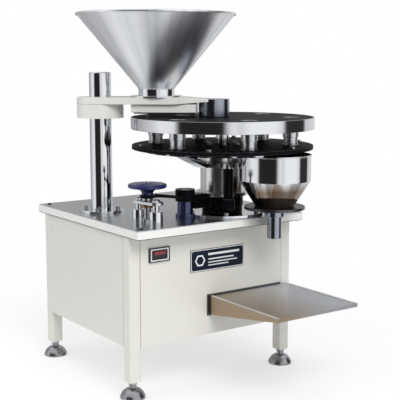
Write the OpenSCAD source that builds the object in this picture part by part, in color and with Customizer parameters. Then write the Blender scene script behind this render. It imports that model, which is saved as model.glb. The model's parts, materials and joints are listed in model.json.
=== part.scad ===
// Bench-top rotary volumetric filler for powder.
// A turret of telescopic cups turns under a hopper arm and over a discharge funnel.
// Millimetres, +Z up. The origin is on the floor, below the middle of the outline.

/* [Cabinet] */
// Width of the cabinet over its legs
cab_w = 440; // [400:1:480]
// Depth of the cabinet over its legs
cab_d = 396; // [370:1:440]
// Height of the work deck above the floor
deck_z = 372; // [360:1:400]
// Outer side of the square leg tube
leg_w = 28; // [24:1:32]
// Height of a levelling foot below the leg
foot_h = 36; // [33:1:45]
// Height of the cabinet floor
floor_z = 112; // [90:1:140]
// How far the lid stands out over the front panel
lid_front = 40; // [30:1:50]
// How far the lid stands out over the rear panel
lid_rear = 26; // [18:1:36]
// How far the lid stands out at each side
lid_side = 3; // [3:1:8]
// Height of the lid's folded edge
lid_h = 16; // [12:1:22]

/* [Turret] */
// Turret axis, right of the cabinet's middle
disc_x = 67; // [60:1:75]
// Turret axis, in front of the cabinet's middle
disc_front = 136; // [128:1:140]
// Radius of the cup disc over its rim
disc_r = 208; // [206:1:212]
// Top of the cup disc above the deck
disc_rise = 220; // [218:1:226]
// Height of the polished rim band
rim_h = 26; // [20:1:28]
// Number of cups
cups = 6; // [5:1:8]
// Radius of the circle the cups stand on
cup_circle = 155; // [152:1:160]
// Outer radius of an upper cup
cup_r = 18; // [17:0.5:19]
// Angle of the first cup
cup_phase = 15; // [0:1:60]
// Outer radius of the turret sleeve
sleeve_r = 50; // [48:1:54]
// Travel of the volume adjustment
lift_travel = 15; // [8:1:15]

/* [Post and arm] */
// Post axis, left of the cabinet's middle
post_left = 151; // [145:1:156]
// Post axis, behind the cabinet's middle
post_back = 38; // [34:1:42]
// Radius of the post
post_r = 25; // [22:0.5:26]
// Height of the post above the deck
post_h = 320; // [310:1:340]
// Distance from the post to the hopper
hopper_reach = 129; // [125:1:135]
// Radius of the arm's round end and of the clamp
arm_r = 53; // [50:1:56]

/* [Hopper] */
// Radius of the hopper at its rim
hopper_r = 178; // [160:1:190]
// Radius of the hopper's neck
neck_r = 41; // [38:1:42]
// Height of the hopper cone
hopper_h = 168; // [150:1:190]
// Thickness of the hopper sheet
hopper_t = 1.5; // [1.2:0.1:2]

/* [Funnel] */
// Radius of the discharge funnel
funnel_r = 79; // [72:1:80]
// Radius of the discharge spout
spout_r = 16; // [14:0.5:18]
// Height of the spout's open end above the floor
spout_z = 328; // [320:1:340]

/* [Tray] */
// Width of the container tray
tray_w = 223; // [200:1:240]
// Depth of the container tray from the panel
tray_d = 240; // [220:1:260]
// Height of the tray above the floor
tray_z = 200; // [180:1:220]

/* [Hidden] */
$fn = 72;

// Colours
col_cream = [0.90, 0.89, 0.85];
col_steel = [0.72, 0.73, 0.74];
col_chrome = [0.85, 0.86, 0.88];
col_black = [0.06, 0.06, 0.07];
col_navy = [0.07, 0.08, 0.28];
col_brass = [0.75, 0.60, 0.30];
col_grey = [0.45, 0.47, 0.48];

// Clearances
run = 0.05;      // radial clearance of a running fit
press = 0.03;    // radial clearance of two parts fixed to each other
free = 0.4;      // radial gap of parts that pass without touching

// Cabinet
sheet = 2;                       // sheet metal thickness
inset = 0.6;                     // how far a panel sits inside the legs' faces
fold = 16;                       // width of a panel's folded bottom edge
gland_at = [150, 160];           // cable gland on the rear panel
vent_z = 190;                    // lowest of the rear panel's slots
leg_rd = 4;                      // outer corner radius of a leg
leg_wall = 2;
hw = cab_w / 2;
hd = cab_d / 2;
leg_x = hw - leg_w / 2;
leg_y = hd - leg_w / 2;
lid_top = deck_z - sheet;        // the deck plate lies on the lid
leg_top = lid_top - sheet;
stem_r = 6;                      // foot stem
foot_r = 27.5;
dome_h = 24;
nut_h = 6;

// Turret
disc = [disc_x, -disc_front];
disc_top = deck_z + disc_rise;
disc_t = 8;
rim_t = 2;
boss_on_disc_r = 42;
spindle_r = 15;
flange_t = 6;                    // flanges screwed to the deck
turret_r = 97;
drum_r = 46;
drum_top = deck_z + 17;
tube_r = 30;                     // fixed column inside the sleeve
tube_top = deck_z + 98;
bearing_r = 21;
bearing_h = 12;
sleeve_z0 = deck_z + 43;
sleeve_top = deck_z + 149;
sleeve_ceiling = deck_z + 110;   // top of the cavity inside the sleeve
sleeve_flange_r = 60;
lower_t = 8;
lower_r = 206;
gate_t = 5;
gate_z0 = sleeve_top - gate_t - 0.5;
gate_a0 = 67;                    // the gate closes the cups from this angle
gate_a1 = 262;                   // to this one, just past the funnel's rim
gate_arm = 196;                  // angle of the arm that carries the gate
collar_z0 = deck_z + 110;        // collar round the sleeve, at the arm's foot
collar_t = 10;
collar_r = 70;
cup_wall = 1.5;
cup_bottom = disc_top - 44;
lower_cup_r = cup_r - cup_wall - free;
lower_cup_top = sleeve_top + 54;
screw_circle = 192;              // screws near the lower disc's edge
hub_circle = 36;                 // screws that hold the lower disc to the sleeve
hub_screws = 6;

// Volume adjustment
screw_at = [-150, -160];         // handwheel axis
guide_at = [-44, -148];          // guide post axis
yoke_dir = disc - screw_at;
yoke_len = norm(yoke_dir);
yoke_ang = atan2(yoke_dir[1], yoke_dir[0]);
bar_z0 = deck_z + 55;
bar_t = 6;
bar_w = 24;
bar_drop = 10;                   // the bar is cranked down by this much
ring_z0 = drum_top + 2;
ring_z1 = sleeve_z0 - 2;
ring_r = 48;
ring_bore = tube_r + 2;
guide_r = 17.5;
guide_base_r = 21.5;
guide_base_h = 10;
pin_r = 10;
boss_r = 22;
boss_z0 = deck_z + 38;
boss_z1 = deck_z + 64;
bridge_z0 = deck_z + 42;
bridge_t = 6;
thread_r = 8;
pillar_gap = 27;                 // each pillar's distance from the screw
pillar_r = 15;
pillar_step = 28;                // height of a pillar's thick foot
wheel_r = 42;
hub_z0 = bar_z0 + bar_t + 0.4;
strut_ang = 245;                 // where the gate's strut stands
strut_reach = 71;                // and how far from the turret axis
strut_r = 10;
strut_at = disc + strut_reach * [cos(strut_ang), sin(strut_ang)];

// Post, arm and hopper
post = [-post_left, post_back];
post_top = deck_z + post_h;
arm_dir = disc - post;
arm_ang = atan2(arm_dir[1], arm_dir[0]);
arm_z0 = disc_top + 29;
arm_t = 15;
arm_top = arm_z0 + arm_t;
hub_reach = 260;                 // scraper hub's distance from the post
scraper_r = 35;
hub_top = disc_top + 40;
clamp_z0 = disc_top - 3;
clamp_screw_z = [clamp_z0 + 8, arm_z0 - 9];
hopper_at = [post[0] + hopper_reach * cos(arm_ang), post[1] + hopper_reach * sin(arm_ang)];
neck_h = 19;
cone_z0 = arm_top + neck_h;
cone_z1 = cone_z0 + hopper_h;
bead_r = 3;                      // rolled rim
skim = 1;                        // gap between the arm's parts and the disc
box_z0 = disc_top + 11;
box_x = [76, 221];               // where the powder duct starts and ends along the arm
box_half = 46;                   // half of its width

// Funnel and its bracket
funnel_at = [112, -270];
plate_z0 = deck_z + 22;
plate_t = 6;
plate_r = 67;
cone_r = 43;
funnel_z0 = plate_z0 + plate_t;
shoulder_z = funnel_z0 + 58;
funnel_top = gate_z0 - 0.5;
funnel_t = 1.5;
collar_h = 17;                   // collar that carries the spout under the plate
bracket_leg = [[137, -234], [161, -211]];   // corners of the leg that stands on the deck

// Tray, switch and nameplate
front_y = -hd + inset;           // outer face of the front panel
tray_x0 = -15;
tray_lip = 8;
gusset_h = 43;
switch_at = [-146, 309];
switch_w = 52;
switch_h = 31;
rocker_pin_r = 1.5;
plate_at = [9, 282];
name_w = 148;
name_h = 50;

// Drive
gear_w = 92;
gear_z0 = 262;
gear_h = leg_top - gear_z0;
motor_r = 58;
motor_len = 190;
spindle_z0 = 244;

// Screws
m6_r = 3;
m6_head = 5;
post_screws = [for (a = [45:90:315]) post + 38 * [cos(a), sin(a)]];
base_screws = [for (a = [0:60:300]) disc + 84 * [cos(a), sin(a)]];
deck_screw_at = concat(post_screws, base_screws);
rear_screw_at = [for (x = [-170, 0, 170], z = [140, 330]) [x, z]];
tray_screw_at = [for (x = [10, 183], z = [170, 188]) [x, z]];

// The outline's middle, which becomes the origin
x_lo = min(hopper_at[0] - hopper_r - bead_r, -leg_x - foot_r);
x_hi = disc_x + disc_r;
y_lo = front_y - tray_d;
y_hi = hd + lid_rear;
mid = [(x_lo + x_hi) / 2, (y_lo + y_hi) / 2];

// ---------- shared shapes ----------

// Puts a piece drawn about the cabinet's middle into the part's own frame
module placed() { translate([-mid[0], -mid[1], 0]) children(); }

// Cylinder between two heights
module rod(at, r, z0, z1) { translate([at[0], at[1], z0]) cylinder(h = z1 - z0, r = r); }

// Tube between two heights
module pipe(at, r, bore, z0, z1) {
    difference() {
        rod(at, r, z0, z1);
        rod(at, bore, z0 - 1, z1 + 1);
    }
}

// Box from one corner to the opposite one
module block(a, b) { translate(a) cube(b - a); }

// Square outline with round corners
module round_square(w, r) {
    square([w - 2 * r, w], center = true);
    square([w, w - 2 * r], center = true);
    for (x = [-1, 1], y = [-1, 1]) translate([x * (w / 2 - r), y * (w / 2 - r)]) circle(r = r);
}

// Things laid out along the arm, with x measured from the post
module on_arm() { translate([post[0], post[1], 0]) rotate([0, 0, arm_ang]) children(); }

// Ring sector between two radii and two angles
module sector(r0, r1, a0, a1, step = 4) {
    n = ceil((a1 - a0) / step);
    arc = [for (i = [0:n]) a0 + (a1 - a0) * i / n];
    polygon(concat(
        [for (a = arc) r1 * [cos(a), sin(a)]],
        [for (i = [n:-1:0]) r0 * [cos(arc[i]), sin(arc[i])]]));
}

// Repeats round the turret axis
module at_cups(r, shift = 0) {
    for (i = [0:cups - 1]) {
        a = cup_phase + shift + i * 360 / cups;
        translate([disc[0] + r * cos(a), disc[1] + r * sin(a), 0]) children();
    }
}
module at_hub_screws() {
    for (i = [0:hub_screws - 1]) {
        a = i * 360 / hub_screws;
        translate([disc[0] + hub_circle * cos(a), disc[1] + hub_circle * sin(a), 0]) children();
    }
}

// ---------- cabinet ----------

module leg(x, y) {
    color(col_cream) placed() difference() {
        translate([x, y, foot_h]) linear_extrude(leg_top - foot_h) round_square(leg_w, leg_rd);
        translate([x, y, foot_h + 8]) linear_extrude(leg_top) square(leg_w - 2 * leg_wall, center = true);
        rod([x, y], stem_r + run, foot_h - 1, foot_h + 9);
    }
}
module leg_front_left() { leg(-leg_x, -leg_y); }
module leg_front_right() { leg(leg_x, -leg_y); }
module leg_rear_left() { leg(-leg_x, leg_y); }
module leg_rear_right() { leg(leg_x, leg_y); }

// Levelling foot: domed pad, neck and threaded stem in one
module foot(x, y) {
    color(col_chrome) placed() translate([x, y, 0]) {
        rotate_extrude() intersection() {
            translate([0, -4.8]) circle(r = dome_h + 4.8);
            square([foot_r, dome_h]);
        }
        translate([0, 0, dome_h - 2]) cylinder(h = foot_h - nut_h - dome_h + 1.6, r = 8);
        translate([0, 0, dome_h - 2]) cylinder(h = foot_h + 45 - dome_h, r = stem_r);
    }
}
module foot_front_left() { foot(-leg_x, -leg_y); }
module foot_front_right() { foot(leg_x, -leg_y); }
module foot_rear_left() { foot(-leg_x, leg_y); }
module foot_rear_right() { foot(leg_x, leg_y); }

module foot_lock_nuts() {
    color(col_chrome) placed() for (x = [-leg_x, leg_x], y = [-leg_y, leg_y]) difference() {
        translate([x, y, foot_h - nut_h]) cylinder(h = nut_h, r = 10.5, $fn = 6);
        rod([x, y], stem_r + run, foot_h - nut_h - 1, foot_h + 1);
    }
}

module base_panel() {
    in_x = hw - leg_w;
    in_y = hd - leg_w;
    gap = inset + sheet;
    color(col_cream) placed() union() {
        block([-in_x, -hd + gap, floor_z + sheet], [in_x, hd - gap, floor_z + 2 * sheet]);
        block([-hw + gap, -in_y, floor_z + sheet], [hw - gap, in_y, floor_z + 2 * sheet]);
    }
}

// Front panel with its folded bottom edge
module front_panel() {
    in_x = hw - leg_w;
    color(col_cream) placed() difference() {
        union() {
            block([-in_x, front_y, floor_z], [in_x, front_y + sheet, leg_top]);
            block([-in_x, front_y, floor_z], [in_x, front_y + fold, floor_z + sheet]);
        }
        translate([switch_at[0] - 16, front_y - 1, switch_at[1] - 10.5]) cube([32, sheet + 2, 21]);
        for (p = tray_screw_at) translate([p[0], front_y - 1, p[1]]) rotate([-90, 0, 0])
            cylinder(h = sheet + 2, r = m6_r + run);
    }
}

module rear_panel() {
    in_x = hw - leg_w;
    y1 = hd - inset;
    color(col_cream) placed() difference() {
        union() {
            block([-in_x, y1 - sheet, floor_z], [in_x, y1, leg_top]);
            block([-in_x, y1 - fold, floor_z], [in_x, y1, floor_z + sheet]);
        }
        for (i = [0:7]) translate([-60, y1 - sheet - 1, vent_z + i * 12]) cube([120, sheet + 2, 4]);
        for (p = rear_screw_at) translate([p[0], y1 - sheet - 1, p[1]]) rotate([-90, 0, 0])
            cylinder(h = sheet + 2, r = m6_r + run);
        translate([gland_at[0], y1 - sheet - 1, gland_at[1]]) rotate([-90, 0, 0])
            cylinder(h = sheet + 2, r = 8 + press);
    }
}

module side_panel(side) {
    in_y = hd - leg_w;
    x = side * (hw - inset);
    color(col_cream) placed() union() {
        block([min(x, x - side * sheet), -in_y, floor_z], [max(x, x - side * sheet), in_y, leg_top]);
        block([min(x, x - side * fold), -in_y, floor_z], [max(x, x - side * fold), in_y, floor_z + sheet]);
    }
}
module left_panel() { side_panel(-1); }
module right_panel() { side_panel(1); }

// Holes that go right through the lid and the deck plate
module deck_holes() {
    rod(disc, spindle_r + 8, deck_z - 30, deck_z + 1);
    for (p = deck_screw_at) rod(p, m6_r + run, deck_z - 30, deck_z + 1);
}

// Lid with its edge folded down all round
module lid() {
    x1 = hw + lid_side;
    y0 = -hd - lid_front;
    y1 = hd + lid_rear;
    color(col_cream) placed() difference() {
        block([-x1, y0, lid_top - lid_h], [x1, y1, lid_top]);
        block([-x1 + sheet, y0 + sheet, lid_top - lid_h - 1], [x1 - sheet, y1 - sheet, lid_top - sheet]);
        deck_holes();
    }
}

module deck_plate() {
    x1 = hw + lid_side - 1.5;
    color(col_steel) placed() difference() {
        block([-x1, -hd - lid_front + 1.5, lid_top], [x1, hd + lid_rear - 1.5, deck_z]);
        deck_holes();
    }
}

// ---------- post and turret base ----------

module post() {
    color(col_chrome) placed() union() {
        rod(post, post_r, deck_z, post_top - 2);
        translate([post[0], post[1], post_top - 2]) cylinder(h = 2, r1 = post_r, r2 = post_r - 2);
    }
}

module post_flange() {
    color(col_steel) placed() difference() {
        rod(post, 51.5, deck_z, deck_z + flange_t);
        rod(post, post_r + press, deck_z - 1, deck_z + flange_t + 1);
        for (p = post_screws) rod(p, m6_r + run, deck_z - 1, deck_z + flange_t + 1);
    }
}

// Cap screws through the flanges, the deck plate and the lid
module deck_screws() {
    top = deck_z + flange_t;
    color(col_grey) placed() for (p = deck_screw_at) difference() {
        union() {
            rod(p, m6_r, deck_z - 12, top);
            rod(p, m6_head, top, top + 6);
        }
        translate([p[0], p[1], top + 3]) cylinder(h = 4, r = 2.9, $fn = 6);
    }
}

module turret_base() {
    color(col_chrome) placed() difference() {
        rod(disc, turret_r, deck_z, deck_z + flange_t);
        rod(disc, spindle_r + 8, deck_z - 1, deck_z + flange_t + 1);
        rod(guide_at, guide_base_r + free, deck_z - 1, deck_z + flange_t + 1);
        for (p = base_screws) rod(p, m6_r + run, deck_z - 1, deck_z + flange_t + 1);
    }
}

// Fixed bearing column: drum below, tube above, with a seat for a bearing at each end
module turret_column() {
    z0 = deck_z + flange_t;
    color(col_black) placed() difference() {
        union() {
            rod(disc, drum_r, z0, drum_top);
            rod(disc, tube_r, z0, tube_top);
        }
        rod(disc, spindle_r + 1, z0 - 1, tube_top + 1);
        rod(disc, bearing_r, z0 - 1, z0 + bearing_h);
        rod(disc, bearing_r, tube_top - bearing_h, tube_top + 1);
    }
}

module spindle_bearings() {
    z0 = deck_z + flange_t;
    color(col_chrome) placed() union() {
        pipe(disc, bearing_r - press, spindle_r + run, z0, z0 + bearing_h);
        pipe(disc, bearing_r - press, spindle_r + run, tube_top - bearing_h, tube_top);
    }
}

// ---------- turning turret ----------

module spindle() { color(col_chrome) placed() rod(disc, spindle_r, spindle_z0, disc_top - 1); }

// Collar that keeps the spindle from lifting out of the gearbox
module shaft_collar() {
    color(col_black) placed() pipe(disc, 24, spindle_r + press, spindle_z0 + 2, spindle_z0 + 14);
}

// Disc with a boss below that grips the spindle
module upper_disc() {
    color(col_black) placed() difference() {
        union() {
            rod(disc, disc_r - rim_t - press, disc_top - disc_t, disc_top);
            rod(disc, boss_on_disc_r, disc_top - disc_t - 12, disc_top);
        }
        rod(disc, spindle_r + press, disc_top - 30, disc_top + 1);
        at_cups(cup_circle) cylinder(h = disc_top + 1, r = cup_r + press);
    }
}

module upper_disc_rim() {
    color(col_chrome) placed() pipe(disc, disc_r, disc_r - rim_t, disc_top - rim_h, disc_top);
}

module upper_cups() {
    color(col_steel) placed() at_cups(cup_circle) difference() {
        translate([0, 0, cup_bottom]) cylinder(h = disc_top - cup_bottom, r = cup_r);
        translate([0, 0, cup_bottom - 1]) cylinder(h = disc_top, r = cup_r - cup_wall);
    }
}

module lower_disc() {
    color(col_black) placed() difference() {
        rod(disc, lower_r, sleeve_top, sleeve_top + lower_t);
        rod(disc, spindle_r + 5, sleeve_top - 1, sleeve_top + lower_t + 1);
        at_cups(cup_circle) cylinder(h = disc_top, r = lower_cup_r + press);
        at_cups(screw_circle, 180 / cups) cylinder(h = disc_top, r = m6_r + run);
        at_hub_screws() cylinder(h = disc_top, r = m6_r + run);
    }
}

// Lower half of each telescopic cup, with a shoulder that rests on the disc
module lower_cups() {
    color(col_steel) placed() at_cups(cup_circle) difference() {
        union() {
            translate([0, 0, sleeve_top]) cylinder(h = lower_cup_top - sleeve_top, r = lower_cup_r);
            translate([0, 0, sleeve_top + lower_t]) cylinder(h = 3, r = cup_r);
        }
        translate([0, 0, sleeve_top - 1]) cylinder(h = disc_top, r = lower_cup_r - cup_wall);
    }
}

module lower_disc_screw() {
    translate([0, 0, sleeve_top]) cylinder(h = lower_t, r = m6_r);
    translate([0, 0, sleeve_top + lower_t]) cylinder(h = 5, r = 6, $fn = 6);
}
module lower_disc_screws() {
    color(col_chrome) placed() union() {
        at_cups(screw_circle, 180 / cups) lower_disc_screw();
        at_hub_screws() lower_disc_screw();
    }
}

// Sleeve that carries the lower disc up and down the spindle and turns with it
module sleeve() {
    color(col_chrome) placed() difference() {
        union() {
            rod(disc, sleeve_r, sleeve_z0, sleeve_top);
            rod(disc, sleeve_flange_r, sleeve_z0, sleeve_z0 + 8);
        }
        rod(disc, tube_r + 3, sleeve_z0 - 1, sleeve_ceiling);
        rod(disc, spindle_r + run, sleeve_z0 - 1, sleeve_top + 1);
    }
}

// ---------- volume adjustment ----------

module on_yoke() { translate([screw_at[0], screw_at[1], 0]) rotate([0, 0, yoke_ang]) children(); }

// Cranked bar from the handwheel screw to the guide post, stepped down to a ring under the sleeve
module yoke_bar() {
    low = bar_z0 - bar_drop;
    crank = 20;
    guide_x = norm(guide_at - screw_at);
    step_x = guide_x + guide_r + 2;
    ring_x = yoke_len - 40;
    bar_end = yoke_len - sleeve_flange_r - 3;
    color(col_black) placed() difference() {
        union() {
            on_yoke() translate([0, bar_w / 2, 0]) rotate([90, 0, 0]) linear_extrude(bar_w)
                polygon([[0, bar_z0], [crank, bar_z0], [guide_x - crank, low], [step_x, low],
                         [step_x, ring_z0], [ring_x, ring_z0], [ring_x, ring_z1], [bar_end, ring_z1],
                         [bar_end, low + bar_t], [guide_x - crank, low + bar_t],
                         [crank, bar_z0 + bar_t], [0, bar_z0 + bar_t]]);
            rod(screw_at, bar_w / 2 + 4, bar_z0, bar_z0 + bar_t);
            rod(guide_at, boss_r, boss_z0, boss_z1);
            rod(disc, ring_r, ring_z0, ring_z1);
            rod(strut_at, strut_r + 4, ring_z0, ring_z1);
            rod(strut_at, strut_r, ring_z0, collar_z0);
            translate([disc[0], disc[1], ring_z0 + 2]) rotate([0, 0, strut_ang])
                translate([40, -8, 0]) cube([strut_reach - 40, 16, ring_z1 - ring_z0 - 4]);
        }
        rod(screw_at, thread_r + run, bar_z0 - 1, bar_z0 + bar_t + 1);
        rod(guide_at, pin_r + run, boss_z0 - 1, boss_z1 + 1);
        rod(disc, ring_bore, ring_z0 - 1, ring_z1 + 1);
    }
}

module thrust_washer() {
    color(col_brass) placed() pipe(disc, ring_r - 1, tube_r + 4, ring_z1, sleeve_z0 - 0.3);
}

// Plate that closes the cups from below until they reach the funnel, on an arm and a collar
module gate_plate() {
    w = 30;
    color(col_steel) placed() difference() {
        union() {
            translate([disc[0], disc[1], gate_z0]) linear_extrude(gate_t)
                sector(cup_circle - 25, cup_circle + 27, gate_a0, gate_a1);
            translate([disc[0], disc[1], 0]) rotate([0, 0, gate_arm]) translate([0, w / 2, 0])
                rotate([90, 0, 0]) linear_extrude(w)
                    polygon([[sleeve_r + 10, collar_z0], [collar_r + 6, collar_z0], [146, gate_z0 - 5],
                             [146, gate_z0 + 1], [132, gate_z0 + 1], [collar_r, collar_z0 + collar_t],
                             [sleeve_r + 10, collar_z0 + collar_t]]);
            rod(disc, collar_r, collar_z0, collar_z0 + collar_t);
            rod(strut_at, strut_r + 4, collar_z0, collar_z0 + collar_t);
        }
        rod(disc, sleeve_r + 7, collar_z0 - 1, collar_z0 + collar_t + 1);
        rod(funnel_at, funnel_r + 8, collar_z0 - 1, collar_z0 + collar_t + 1);
    }
}

module guide_post() {
    color(col_chrome) placed() union() {
        rod(guide_at, guide_base_r, deck_z, deck_z + guide_base_h);
        rod(guide_at, guide_r, deck_z, boss_z0 - 1);
        rod(guide_at, pin_r, deck_z, boss_z1);
    }
}

module on_bridge() { translate([screw_at[0], screw_at[1], 0]) rotate([0, 0, -80]) children(); }

// Fixed bridge that holds the lift nut over the deck
module lift_bridge() {
    color(col_steel) placed() difference() {
        union() {
            on_bridge() block([-pillar_gap, -16, bridge_z0], [pillar_gap, 16, bridge_z0 + bridge_t]);
            for (s = [-1, 1]) on_bridge() rod([s * pillar_gap, 0], 16, bridge_z0, bridge_z0 + bridge_t);
        }
        rod(screw_at, 12 + press, bridge_z0 - 1, bridge_z0 + bridge_t + 1);
        for (s = [-1, 1]) on_bridge() rod([s * pillar_gap, 0], 5 + press, bridge_z0 - 1, bridge_z0 + 9);
    }
}

// Bright stepped pillars under the bridge
module lift_pillars() {
    color(col_chrome) placed() for (s = [-1, 1]) on_bridge() union() {
        rod([s * pillar_gap, 0], pillar_r, deck_z, deck_z + pillar_step);
        rod([s * pillar_gap, 0], 7, deck_z, bridge_z0);
        rod([s * pillar_gap, 0], 5, deck_z, bridge_z0 + bridge_t);
    }
}

module lift_nut() {
    color(col_brass) placed() difference() {
        union() {
            rod(screw_at, 12, bridge_z0 - 8, bridge_z0 + bridge_t);
            rod(screw_at, 15, bridge_z0 - 4, bridge_z0);
        }
        rod(screw_at, thread_r + run, bridge_z0 - 9, bridge_z0 + bridge_t + 1);
    }
}

// Handwheel: a hub that flares out to a thick round rim
module handwheel() {
    z = hub_z0;
    rim = 4.5;
    color(col_navy) placed() translate([screw_at[0], screw_at[1], 0]) rotate_extrude() union() {
        polygon([[thread_r + press, z], [12.5, z], [12.5, z + 5], [15, z + 9], [22, z + 13],
                 [wheel_r - rim, z + 16], [wheel_r - rim, z + 23.5], [20, z + 25], [12, z + 26],
                 [thread_r + press, z + 26]]);
        translate([wheel_r - rim, z + 19.5]) circle(r = rim);
    }
}

module lift_screw() {
    color(col_grey) placed() union() {
        rod(screw_at, thread_r, deck_z + 8, hub_z0 + 28);
        rod(screw_at, 12, bridge_z0 + bridge_t + 0.4, bar_z0 - 0.3);
    }
}

// ---------- arm ----------

module arm_clamp() {
    color(col_cream) placed() difference() {
        rod(post, arm_r, clamp_z0, arm_z0 - 0.4);
        rod(post, post_r + run, clamp_z0 - 1, arm_z0 + 1);
        on_arm() block([-arm_r - 1, -1.5, clamp_z0 - 1], [-post_r + 2, 1.5, arm_z0]);
        on_arm() for (z = clamp_screw_z) translate([-39, 60, z]) rotate([90, 0, 0]) {
            cylinder(h = 88, r = m6_r + run);
            cylinder(h = 31, r = m6_head + 0.3);
        }
    }
}

module clamp_screws() {
    color(col_grey) placed() on_arm() for (z = clamp_screw_z)
        translate([-39, 60, z]) rotate([90, 0, 0]) {
            translate([0, 0, 25]) cylinder(h = 6, r = m6_head);
            translate([0, 0, 25]) cylinder(h = 60, r = m6_r);
        }
}

// Flat arm that tapers towards the turret, with the powder passage under the hopper
module arm() {
    color(col_cream) placed() on_arm() difference() {
        intersection() {
            rotate([90, 0, 0]) translate([0, 0, -80]) linear_extrude(160)
                polygon([[-arm_r, arm_z0], [170, arm_z0], [hub_reach, arm_z0 + 6], [hub_reach, arm_top - 4],
                         [190, arm_top], [-arm_r, arm_top]]);
            translate([0, 0, arm_z0 - 1]) linear_extrude(arm_t + 2) union() {
                circle(r = arm_r);
                polygon([[0, -arm_r], [hopper_reach + 50, -arm_r], [hub_reach, -30], [hub_reach, 30],
                         [hopper_reach + 50, arm_r], [0, arm_r]]);
            }
        }
        translate([0, 0, arm_z0 - 1]) cylinder(h = arm_t + 2, r = post_r + run);
        translate([hopper_reach, 0, arm_z0 - 1]) cylinder(h = arm_t + 2, r = neck_r - 3);
        rod([hub_reach, 0], scraper_r + press, arm_z0 - 1, arm_top + 1);
    }
}

module hopper() {
    color(col_chrome) placed() translate([hopper_at[0], hopper_at[1], 0]) rotate_extrude($fn = 120) union() {
        polygon([[neck_r - hopper_t, cone_z0], [neck_r, cone_z0], [hopper_r, cone_z1 - bead_r],
                 [hopper_r, cone_z1 - bead_r + 1], [hopper_r - hopper_t, cone_z1 - bead_r + 1]]);
        translate([hopper_r, cone_z1 - bead_r]) circle(r = bead_r, $fn = 24);
    }
}

module hopper_neck() {
    color(col_chrome) placed() difference() {
        union() {
            rod(hopper_at, neck_r, arm_top, cone_z0);
            rod(hopper_at, 59.5, arm_top, arm_top + 3);
        }
        rod(hopper_at, neck_r - 3, arm_top - 1, cone_z0 + 1);
    }
}

// Open duct that carries the powder from the arm down to the disc
module powder_box() {
    x0 = box_x[0];
    x1 = box_x[1];
    color(col_steel) placed() on_arm() difference() {
        block([x0, -box_half, box_z0], [x1, box_half, arm_z0]);
        block([x0 + 3, 3 - box_half, box_z0 - 1], [x1 - 3, box_half - 3, arm_z0 + 1]);
    }
}

module powder_ring() {
    x0 = box_x[0] + 6;
    x1 = box_x[1];
    half = box_half - 2;
    color(col_chrome) placed() on_arm() difference() {
        block([x0, -half, disc_top + skim], [x1, half, box_z0]);
        block([x0 + 4, 4 - half, disc_top], [x1 - 4, half - 4, box_z0 + 1]);
        block([x0 - 1, -half - 1, disc_top], [x0 + 32, half + 1, box_z0 - 3]);
    }
}

// Polished boss at the arm's end, over the turret axis
module scraper_hub() {
    color(col_chrome) placed() on_arm() difference() {
        rod([hub_reach, 0], scraper_r, disc_top + skim, hub_top);
        rod([hub_reach, 0], scraper_r - 8, disc_top, hub_top - 8);
    }
}

// ---------- funnel ----------

module funnel() {
    w = funnel_t;
    color(col_chrome) placed() translate([funnel_at[0], funnel_at[1], 0]) rotate_extrude($fn = 96)
        polygon([[spout_r - w, funnel_z0], [cone_r, funnel_z0], [funnel_r, shoulder_z],
                 [funnel_r, funnel_top], [funnel_r - w, funnel_top], [funnel_r - w, shoulder_z + 0.5],
                 [cone_r - w, funnel_z0 + 2 * w], [spout_r - w, funnel_z0 + w]]);
}

// Round plate under the funnel with a tab and a leg that stands on the deck
module funnel_bracket() {
    leg_a = bracket_leg[0];
    leg_b = bracket_leg[1];
    color(col_grey) placed() difference() {
        union() {
            rod(funnel_at, plate_r, plate_z0, plate_z0 + plate_t);
            block([leg_a[0] - 20, funnel_at[1], plate_z0], [leg_b[0], leg_b[1], plate_z0 + plate_t]);
            block([leg_a[0], leg_a[1], deck_z], [leg_b[0], leg_b[1], plate_z0 + 1]);
        }
        rod(funnel_at, spout_r + press, plate_z0 - 1, plate_z0 + plate_t + 1);
    }
}

module funnel_spout() {
    color(col_chrome) placed() difference() {
        union() {
            rod(funnel_at, spout_r, spout_z, plate_z0 + plate_t);
            rod(funnel_at, spout_r + 6, plate_z0 - collar_h, plate_z0);
        }
        rod(funnel_at, spout_r - funnel_t, spout_z - 1, plate_z0 + plate_t + 1);
    }
}

// ---------- tray, switch, nameplate ----------

// Folded tray: top, front lip, rear flange and two tapered cheeks
module tray() {
    y0 = front_y - tray_d;
    y1 = front_y - 4;
    x1 = tray_x0 + tray_w;
    color(col_steel) placed() difference() {
        union() {
            block([tray_x0, y0, tray_z - sheet], [x1, y1, tray_z]);
            block([tray_x0, y0, tray_z - tray_lip], [x1, y0 + sheet, tray_z]);
            block([tray_x0, y1 - sheet, tray_z - gusset_h], [x1, y1, tray_z]);
            for (x = [tray_x0, x1 - sheet]) translate([x, 0, 0]) rotate([90, 0, 90]) linear_extrude(sheet)
                polygon([[y0, tray_z], [y0, tray_z - tray_lip], [y1, tray_z - gusset_h], [y1, tray_z]]);
        }
        for (p = tray_screw_at) translate([p[0], y1 - sheet - 1, p[1]]) rotate([-90, 0, 0])
            cylinder(h = sheet + 2, r = m6_r + run);
    }
}

module tray_bracket() {
    color(col_grey) placed() difference() {
        block([tray_x0 - 5, front_y - 4, tray_z - gusset_h - 2], [hw - leg_w - 2, front_y, tray_z + 3]);
        for (p = tray_screw_at) translate([p[0], front_y - 5, p[1]]) rotate([-90, 0, 0])
            cylinder(h = 6, r = m6_r + run);
    }
}

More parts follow.
